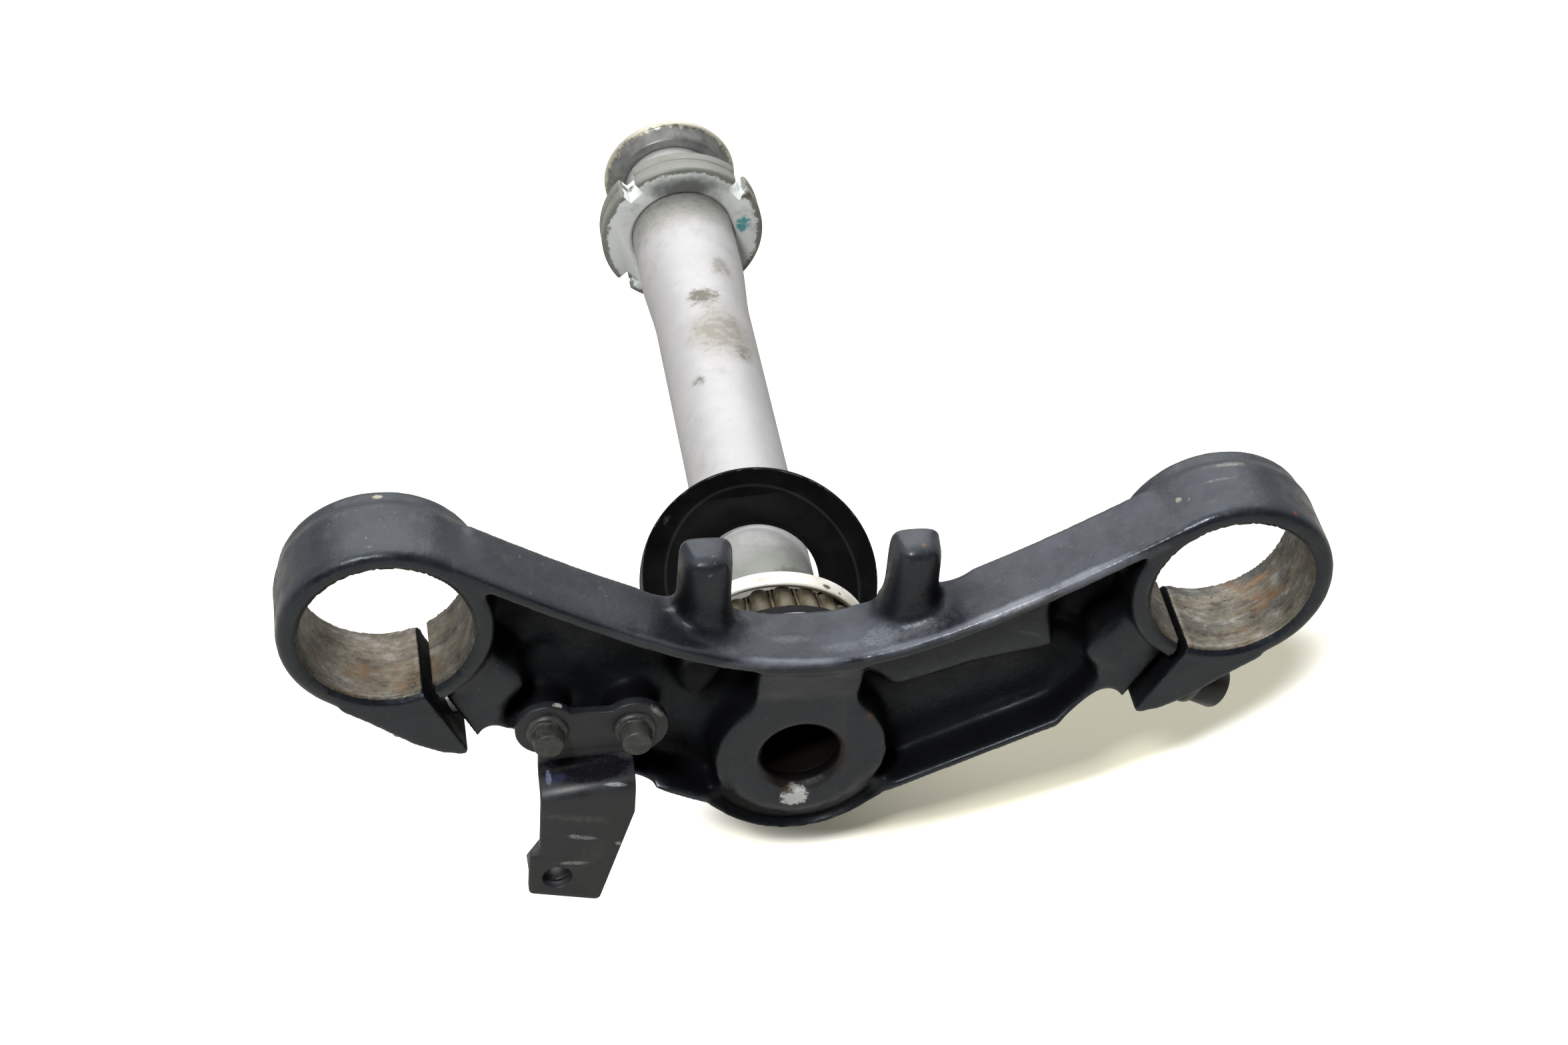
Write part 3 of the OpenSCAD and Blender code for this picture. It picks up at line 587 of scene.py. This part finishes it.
# what all steel pieces share
steelWear = {
    "streakNoise": (6, 0.65), "streakTone": (0.34, 0.66), "streakRough": (0.3, 0.7),
    "sheenShake": (150, 0.9), "markShake": (400, 1.8), "edgeGain": 1.5, "edgeLift": 0.05,
    "smear": (70, 7, 0.7), "grimeRange": (0.5, 0.72), "corners": (0.004, 0.45, 0.8), "dirtyRough": 0.2,
    "metalLoss": 0.6, "rustSpots": (380, 4, 0.6, 0.62, 0.72), "rust": (0.26, 0.12, 0.05),
    "edge": (0.0004, 0.82, 0.96), "edgeRange": (0.35, 0.6), "edgeLevel": (0.1, 0.7),
    "rimShake": (420, 0.0045), "rimWidth": 0.001, "lipWidth": 0.0003, "boreWidth": 0.0004,
    "boreShade": (0.007, 0.005, 0.004), "shine": 0.5, "boreShine": 0.05,
    "smearHeight": 0.5, "bump": (0.25, 0.00006),
}
# smooth marks on the steel pieces: painted shade and light, smudges and stains
pieceShadeLightAndStains = {
    "stemSteel": [
        # painted shadow of the disc on the stem's lower part
        ((0, -8, 62), (22, 20, 18), 0, (0.25, 0.26, 0.235), 1),
        ((2, -13, 172), (13, 10, 16), 0, (0.36, 0.35, 0.32), 0.7),
        ((0, -6, 236), (22, 22, 13), 0, (0.33, 0.325, 0.29), 0.8),
    ],
    "nutZinc": [
        # painted shade on the nut's top, and painted light on its paler left side
        ((0, -18, 241.5), (14, 5.6, 3), 0, (0.17, 0.18, 0.18), 1),
        ((-19, 4, 241.5), (5, 9, 3), 0, (0.95, 0.99, 0.98), 1),
    ],
    "topWasherSteel": [((0, 0, 268.5), (17.6, 17.6, 5), 0, (0.26, 0.24, 0.19), 0.8)],
    # the cup is darker on its right side
    "cupSteel": [((22, -14, 45), (7, 7, 3), 0, (0.5, 0.46, 0.36), 0.6)],
}
# smudges and wear on the steel and black pieces, with some painted shade and highlights
pieceMarks = {
    "stemSteel": [
        ((-1, -14.8, 189), (5, 6, 5), 0, (0.16, 0.15, 0.12), 1.5),
        ((1.5, -14.5, 171), (10, 8, 11), 0, (0.3, 0.28, 0.24), 1.3),
        ((7.6, -12.6, 162.4), (3.5, 4, 5), 0, (0.24, 0.23, 0.19), 1.2),
        ((6, -13, 205), (4, 4, 6), 0, (0.28, 0.27, 0.24), 0.9),
        ((-8, -12, 150), (2, 3, 3), 0, (0.14, 0.14, 0.12), 1),
        ((0, 0, 241), (19, 19, 17), 0, (0.24, 0.235, 0.2), 1.1),
        ((6, -13, 60), (8, 6, 6), 0, (0.1, 0.11, 0.08), 0.8),
        ((-2, -14, 56), (6, 5, 3), 0, (0.14, 0.12, 0.08), 0.7),
    ],
    "nutZinc": [
        ((19.5, -4.2, 241.5), (2.3, 3.4, 2.2), 0, (0.12, 0.42, 0.45), 3),
        # painted shade, with patches: the nut's darker top
        ((0, -21, 241.5), (13, 4, 3), 0, (0.2, 0.2, 0.19), 0.5),
        ((-17.9, -13.9, 248.3), (3, 3, 1.6), 0, (0.12, 0.1, 0.07), 1.6),
        ((19.9, -15.8, 241.5), (2.6, 2.6, 1.6), 0, (0.12, 0.1, 0.07), 1.6),
    ],
    "cupSteel": [
        ((12, -22.6, 45.6), (1.3, 1.3, 0.8), 0, (0.16, 0.1, 0.05), 3),
        ((16, -20.6, 45.2), (0.8, 0.8, 0.6), 0, (0.16, 0.1, 0.05), 3),
        ((-6, -25, 47), (4, 2, 1.2), 0, (0.4, 0.32, 0.2), 0.8),
        ((8, -24.6, 48), (9, 2, 1.4), 0, (0.5, 0.42, 0.28), 0.5),
    ],
    "discBlack": [
        ((-26.2, -15.5, 84.6), (0.9, 1.8, 1), 25, (0.06, 0.06, 0.06), 0.8),
        ((18, -24, 82), (0.7, 2.2, 1.5), -30, (0.22, 0.2, 0.17), 1.5),
        ((22, -19, 81), (0.7, 1.4, 1.2), 10, (0.2, 0.18, 0.15), 1.5),
    ],
    "bracketBlack": [
        # painted shade: the riser under the ears, which the yoke shades
        ((-57, -4, 1.5), (14, 3.6, 4.2), 0, (0.008, 0.008, 0.011), 3),
        # painted highlights: bluish glints on the riser's left end
        ((-64.8, -2.1, 0.2), (2.4, 2, 1.4), 0, (0.03, 0.035, 0.07), 2),
        ((-67.2, -1.9, 0.6), (0.8, 2, 2.2), 0, (0.16, 0.19, 0.3), 2),
        ((-49.5, -2.2, -3.6), (6.4, 0.55, 0.6), 4, (0.36, 0.37, 0.4), 2.5),
        ((-58.6, 15.2, -5), (4.4, 0.8, 1), 12, (0.3, 0.31, 0.33), 2),
        ((-60.8, 24.8, -5), (4, 0.7, 1), 5, (0.36, 0.36, 0.36), 2),
        ((-48.9, 18.3, -5), (1.0, 0.7, 1.5), 0, (0.5, 0.5, 0.5), 4),
        ((-65.1, -23.8, 4.8), (2.8, 0.9, 0.8), -15, (0.65, 0.63, 0.58), 3),
        ((-39.6, -21, 3.6), (2.4, 1.0, 1.0), 50, (0.35, 0.34, 0.3), 1),
        ((-60, 8, -5), (10, 1.6, 1.5), 10, (0.09, 0.09, 0.09), 1),
        ((-55, 21, -5), (4, 5, 1.5), 0, (0.07, 0.07, 0.07), 0.8),
    ],
}


def steelFinish(name, steel, wear):
    mat, tree, shader, place = startMaterial(name)
    streak = noise(tree, place, steel["streak"], *wear["streakNoise"])
    smear = noise(tree, place, *wear["smear"])
    colour = blend(tree, ramp(tree, streak, *wear["streakTone"]), steel["a"], steel["b"])
    # smeared grime, and painted shade in the corners, darken towards the grime colour
    grimeAndCornerShade = maths(tree, "MAXIMUM", ramp(tree, smear, *wear["grimeRange"], 0, steel["grimeLevel"]),
                  cavityMask(tree, *wear["corners"]))
    colour = blend(tree, grimeAndCornerShade, colour, steel["grimeAndShade"])
    colour = blend(tree, layer(tree, place, wear["rustSpots"], 0, steel["rust"]), colour, wear["rust"])
    paler = tuple(min(1, c*wear["edgeGain"] + wear["edgeLift"]) for c in steel["b"])
    edge = ramp(tree, smear, *wear["edgeRange"], *wear["edgeLevel"])
    edge = times(tree, edgeMask(tree, *wear["edge"]), edge)
    colour = blend(tree, edge, colour, steel.get("edge", paler))
    radius = axisDistance(tree, place)
    if "rim" in steel:
        start, tone, level = steel["rim"]
        ragged = maths(tree, "ADD", radius, shakeOf(tree, place, *wear["rimShake"]))
        colour = blend(tree, ramp(tree, ragged, start, start + wear["rimWidth"], 0, level), colour, tone)
    if "lip" in steel:
        end, tone = steel["lip"]
        colour = blend(tree, ramp(tree, radius, end - wear["lipWidth"], end, 1, 0), colour, tone)
    colour = addMarks(tree, place, colour, pieceShadeLightAndStains.get(name, []),
                      shakeOf(tree, place, *wear["sheenShake"]))
    colour = addMarks(tree, place, colour, pieceMarks.get(name, []), shakeOf(tree, place, *wear["markShake"]),
                      patchyOf(tree, place, steel.get("patch", patchySet["scale"])))
    metal = maths(tree, "SUBTRACT", steel["metal"], times(tree, grimeAndCornerShade, steel["metal"]*wear["metalLoss"]))
    # painted shade: inside the stem's bore the colour goes near black and loses its shine
    if "inside" in steel:
        inside = ramp(tree, radius, steel["inside"] - wear["boreWidth"], steel["inside"], 1, 0)
        colour = blend(tree, inside, colour, wear["boreShade"])
        metal = maths(tree, "SUBTRACT", metal, inside)
        loss = times(tree, inside, wear["shine"] - wear["boreShine"])
        join(tree, maths(tree, "SUBTRACT", wear["shine"], loss), shader.inputs["Specular IOR Level"])
    join(tree, colour, shader.inputs["Base Color"])
    join(tree, metal, shader.inputs["Metallic"])
    base = ramp(tree, streak, *wear["streakRough"], *steel["rough"])
    join(tree, maths(tree, "ADD", base, times(tree, grimeAndCornerShade, wear["dirtyRough"])), shader.inputs["Roughness"])
    bump(tree, shader, maths(tree, "ADD", streak, times(tree, smear, wear["smearHeight"])), *wear["bump"])
    return mat


# black finishes. The disc has pale grooves and a rim painted paler as a highlight, as radii in metres; dull
# is the place and half sizes of the bracket's shaded riser
blackSet = {
    "sealRubber": {
        "a": (0.005, 0.005, 0.006), "b": (0.01, 0.01, 0.011), "rough": (0.5, 0.65), "grain": 900,
        "scratch": 0.2, "shine": 0.12,
    },
    "discBlack": {
        "a": (0.004, 0.0042, 0.0045), "b": (0.009, 0.009, 0.0095), "rough": (0.5, 0.62), "grain": 700,
        "scratch": 0.35, "grooves": (0.0267,), "shine": 0.04, "rim": 0.0329,
    },
    "bracketBlack": {
        "a": (0.017, 0.018, 0.022), "b": (0.035, 0.037, 0.042), "rough": (0.36, 0.52), "grain": 1100,
        "scratch": 0.8, "dull": ((-0.057, -0.0035, 0.002), (0.016, 0.0032, 0.0052)),
    },
    "weldNutBlack": {
        "a": (0.015, 0.015, 0.019), "b": (0.04, 0.04, 0.045), "rough": (0.4, 0.55), "grain": 900,
        "scratch": 0.4,
    },
}
# what all black pieces share
blackWear = {
    "cloud": (90, 6, 0.65), "cloudRange": (0.3, 0.7),
    "dust": (0.2, 0.19, 0.17), "dustNoise": (30, 7, 0.75, 0.58, 0.8), "dustLevel": 0.16,
    "rim": (0.2, 0.2, 0.18), "rimWidth": 0.0003, "rimLevel": 0.6,
    "groove": (0.1, 0.1, 0.1), "grooveWidth": 0.0006, "grooveLevel": 0.2,
    "bare": (0.55, 0.54, 0.52), "edge": (0.0005, 0.8, 0.95), "chips": (330, 5, 0.65, 0.5, 0.6),
    "shine": 0.5, "dullShine": 0.04, "dullEdge": (0.8, 1.1), "markShake": (700, 1.8), "bump": (0.3, 0.0001),
}


def blackFinish(name, black, wear):
    mat, tree, shader, place = startMaterial(name)
    cloud = noise(tree, place, *wear["cloud"])
    grain = noise(tree, place, black["grain"], detail=3)
    radius = axisDistance(tree, place)
    colour = blend(tree, ramp(tree, cloud, *wear["cloudRange"]), black["a"], black["b"])
    colour = blend(tree, layer(tree, place, wear["dustNoise"], 0, wear["dustLevel"]), colour, wear["dust"])
    if "rim" in black:
        rim = ramp(tree, radius, black["rim"], black["rim"] + wear["rimWidth"], 0, wear["rimLevel"])
        colour = blend(tree, rim, colour, wear["rim"])
    for groove in black.get("grooves", ()):
        off = maths(tree, "ABSOLUTE", maths(tree, "SUBTRACT", radius, groove), 0)
        factor = ramp(tree, off, 0, wear["grooveWidth"], wear["grooveLevel"], 0)
        colour = blend(tree, factor, colour, wear["groove"])
    colour = addMarks(tree, place, colour, pieceMarks.get(name, []), shakeOf(tree, place, *wear["markShake"]),
                      patchyOf(tree, place))
    chipped = times(tree, edgeMask(tree, *wear["edge"]), layer(tree, place, wear["chips"]), black["scratch"])
    colour = blend(tree, chipped, colour, wear["bare"])
    join(tree, colour, shader.inputs["Base Color"])
    join(tree, ramp(tree, cloud, *wear["cloudRange"], *black["rough"]), shader.inputs["Roughness"])
    if "dull" in black:
        reach = reachOf(tree, place, *black["dull"])
        join(tree, ramp(tree, reach, *wear["dullEdge"], wear["dullShine"], wear["shine"]),
             shader.inputs["Specular IOR Level"])
    else:
        shader.inputs["Specular IOR Level"].default_value = black.get("shine", wear["shine"])
    bump(tree, shader, maths(tree, "ADD", grain, cloud), *wear["bump"])
    return mat


materials = {"yokePaint": yokePaint(yokePaintSet, boreSet)}
for name, steel in steelSet.items():
    materials[name] = steelFinish(name, steel, steelWear)
for name, black in blackSet.items():
    materials[name] = blackFinish(name, black, blackWear)
print("materials built")

# each CAD piece but the yoke gets a copy with softened edges: their width in mm, and the least angle in
# degrees of an edge that is softened
pieceSet = {
    "steering_stem": {"finish": "stemSteel", "slot": "stem_steel", "width": 0.5, "angle": 30},
    "seal_washer": {"finish": "sealWasherSteel", "slot": "washer_steel", "width": 0.2, "angle": 30},
    "lower_dust_seal": {"finish": "sealRubber", "slot": "seal_rubber", "width": 0.3, "angle": 50},
    "bearing_inner_race": {"finish": "raceSteel", "slot": "race_steel", "width": 0.2, "angle": 50},
    "bearing_rollers": {"finish": "rollerSteel", "slot": "roller_steel", "width": 0.35, "angle": 50},
    "bearing_cage": {"finish": "cageSteel", "slot": "cage_steel", "width": 0.15, "angle": 50, "steps": 1},
    "bearing_outer_race": {"finish": "cupSteel", "slot": "cup_steel", "width": 0.3},
    "dust_cover_disc": {"finish": "discBlack", "slot": "disc_black", "width": 0.3, "angle": 50},
    "adjuster_ring_nut": {"finish": "nutZinc", "slot": "nut_zinc", "width": 0.35},
    "stem_top_washer": {"finish": "topWasherSteel", "slot": "top_washer_steel", "width": 0.4},
    "hose_bracket": {"finish": "bracketBlack", "slot": "bracket_black", "width": 0.4},
    "bracket_weld_nut": {"finish": "weldNutBlack", "slot": "weld_nut_steel", "width": 0.4},
    "bracket_bolts": {"finish": "bracketBoltZinc", "slot": "bracket_bolt_zinc", "width": 0.35},
    "pinch_bolt_right": {"finish": "pinchBoltSteel", "slot": "pinch_bolt_steel", "width": 0.6},
    "pinch_washer_right": {"finish": "pinchWasherSteel", "slot": "pinch_washer_steel", "width": 0.25},
    "pinch_bolt_left": {"finish": "pinchStudSteel", "slot": "pinch_stud_steel", "width": 0.8},
}
# the angle and steps of a piece without its own, the weld distance in metres, and the angles under which
# faces join and over which edges are shaded sharp
copySet = {"angle": 40, "steps": 2, "weld": 1e-6, "flatAngle": 0.4, "sharpAngle": 42}


def weldedMesh(obj, flatAngle=None):
    shape = bmesh.new()
    shape.from_mesh(obj.data)
    bmesh.ops.remove_doubles(shape, verts=shape.verts, dist=copySet["weld"])
    if flatAngle is not None:
        limit = math.radians(flatAngle)
        bmesh.ops.dissolve_limit(shape, angle_limit=limit, verts=shape.verts, edges=shape.edges)
    return shape


def applyModifiers(obj):
    bpy.context.view_layer.update()
    done = bpy.data.meshes.new_from_object(obj.evaluated_get(bpy.context.evaluated_depsgraph_get()))
    obj.modifiers.clear()
    obj.data = done
    return done


def softenedCopy(name, piece):
    obj = bpy.data.objects.new(name.replace("_", " ").title().replace(" ", ""), nodes[name].data.copy())
    scene.collection.objects.link(obj)
    shape = weldedMesh(obj, copySet["flatAngle"])
    weights = shape.edges.layers.float.new("bevel_weight_edge")
    limit = math.radians(piece.get("angle", copySet["angle"]))
    for edge in shape.edges:
        if len(edge.link_faces) == 2 and edge.calc_face_angle(0) > limit:
            edge[weights] = 1.0
    shape.to_mesh(obj.data)
    shape.free()
    bevel = obj.modifiers.new("soft edges", "BEVEL")
    bevel.limit_method = "WEIGHT"
    bevel.width = piece["width"]*mm
    bevel.segments = piece.get("steps", copySet["steps"])
    bevel.use_clamp_overlap = False
    bevel.miter_outer = "MITER_ARC"
    done = applyModifiers(obj)
    done.shade_smooth()
    done.set_sharp_from_angle(angle=math.radians(copySet["sharpAngle"]))
    done.materials.clear()
    done.materials.append(materials[piece["finish"]])
    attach(obj, "root")
    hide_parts(name)


for name, piece in pieceSet.items():
    softenedCopy(name, piece)
print("small pieces built")

# the yoke is a casting: its edges and corners are soft, and only the machined places stay crisp. All in mm.
# A crisp pair is the distance that stays as it is, and the one from which it is smoothed in full. A region
# has, for each direction, where it starts and where it is full
castingSet = {
    "voxel": 0.75, "passes": 12,
    "forkCrisp": (23.2, 24.8), "stemCrisp": (11.8, 13.4), "slitCrisp": (0.5, 2.2),
    "pinchFrom": (-16.5, 34.1), "slitTurn": 28.4, "slitWidth": 2.8, "slitReach": 22,
    "edgeSide": 19.3, "edgeReach": 37.6, "edgeDepth": 2, "edgeFrom": 7, "edgeSweep": 0.0075,
    "lugs": {"y": (-44, -48), "side": (44, 40)}, "lugFoot": 6, "lugPasses": 22,
    "humps": {"side": (69, 72), "y": (-52, -49), "z": (2, 4), "top": (15, 13), "fork": (24.5, 27.5)},
    "humpPasses": 50,
    "pockets": {"z": (4.5, 6.5), "top": (17.5, 16.5), "fork": (25.5, 27.5)}, "pocketPasses": 64,
    "padFall": {"y": (4, 12), "side": (27, 20), "stem": (30, 27.5), "z": (9, 4.5)},
    "padRing": (17.5, 27), "padCurve": 1.6, "padDrop": 4.5, "boreCatch": 0.5, "slitClear": 0.4,
}


def smoothPoints(points, ends, near, keep, passes):
    # each pass draws a point half the way to the middle of its neighbours
    for _ in range(passes):
        total = np.zeros_like(points)
        for axis in range(3):
            total[:, axis] = (np.bincount(ends[:, 0], points[ends[:, 1], axis], len(points))
                              + np.bincount(ends[:, 1], points[ends[:, 0], axis], len(points)))
        points += (total/near - points)*0.5*keep[:, None]


def fadeIn(values, limits):
    start, full = limits
    return np.clip((values - start)/(full - start), 0, 1)


def region(where, limits):
    share = 1
    for direction, pair in limits.items():
        share = share*fadeIn(where[direction], pair)
    return share


def slitDistance(x, y, cast):
    # from the clamp's slit, in a frame at the pinch bolt
    x = x - cast["pinchFrom"][0]
    y = y - cast["pinchFrom"][1]
    turn = math.radians(cast["slitTurn"])
    u = x*math.cos(turn) + y*math.sin(turn)
    v = y*math.cos(turn) - x*math.sin(turn)
    half = cast["slitWidth"]/2
    return np.maximum(np.abs(u + half) - half, np.abs(v) - cast["slitReach"])


def castYoke(cast):
    obj = bpy.data.objects.new("YokeCasting", nodes["lower_yoke"].data.copy())
    scene.collection.objects.link(obj)
    shape = weldedMesh(obj)
    shape.to_mesh(obj.data)
    shape.free()
    remesh = obj.modifiers.new("even mesh", "REMESH")
    remesh.mode = "VOXEL"
    remesh.voxel_size = cast["voxel"]*mm
    done = applyModifiers(obj)
    count = len(done.vertices)
    points = np.empty(count*3)
    done.vertices.foreach_get("co", points)
    points = points.reshape(-1, 3)/mm
    ends = np.empty(len(done.edges)*2, int)
    done.edges.foreach_get("vertices", ends)
    ends = ends.reshape(-1, 2)
    near = np.bincount(ends.ravel(), minlength=count)[:, None]
    # x, y and z stay views of the points, and the distances keep what they are before the smoothing
    x, y, z = points.T
    side = np.abs(x)
    # the web's front edge runs straight to the lugs' inner sides
    root = (side < cast["edgeSide"]) & (y < cast["edgeDepth"] - cast["edgeReach"]) & (z > cast["edgeFrom"])
    edge = -cast["edgeReach"] - cast["edgeSweep"]*side**2
    y[root] = np.maximum(y, edge)[root]
    forkX, forkY = (value/mm for value in forkClamp["pos_m"][:2])
    fork = np.hypot(side - forkX, y - forkY)
    slit = slitDistance(side - forkX, y - forkY, cast)
    keep = np.minimum(fadeIn(fork, cast["forkCrisp"]), fadeIn(np.hypot(x, y), cast["stemCrisp"]))
    keep = np.minimum(keep, fadeIn(slit, cast["slitCrisp"]))
    smoothPoints(points, ends, near, keep, cast["passes"])
    where = {"y": y, "z": z, "top": z, "side": side, "fork": fork}
    lugs = region(where, cast["lugs"])*(z > cast["lugFoot"])
    smoothPoints(points, ends, near, keep*lugs, cast["lugPasses"])
    # the right lug is rounder
    smoothPoints(points, ends, near, keep*lugs*(x > 0), cast["lugPasses"])
    smoothPoints(points, ends, near, keep*region(where, cast["humps"]), cast["humpPasses"])
    smoothPoints(points, ends, near, keep*region(where, cast["pockets"]), cast["pocketPasses"])
    # the pad falls away at its rear
    where["stem"] = np.hypot(x, y)
    fall = fadeIn(where["stem"], cast["padRing"])**cast["padCurve"]*cast["padDrop"]
    z += fall*region(where, cast["padFall"])
    # the turned bores are true cylinders
    radius = forkClamp["dims"]["r_mm"]
    bore = (np.abs(fork - radius) < cast["boreCatch"]) & (slit > cast["slitClear"])
    scale = radius/fork[bore]
    x[bore] = np.sign(x[bore])*(forkX + (side[bore] - forkX)*scale)
    y[bore] = forkY + (y[bore] - forkY)*scale
    done.vertices.foreach_set("co", (points*mm).ravel())
    done.update()
    done.shade_smooth()
    done.materials.clear()
    done.materials.append(materials["yokePaint"])
    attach(obj, "root")
    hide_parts("lower_yoke")


castYoke(castingSet)
print("yoke built")
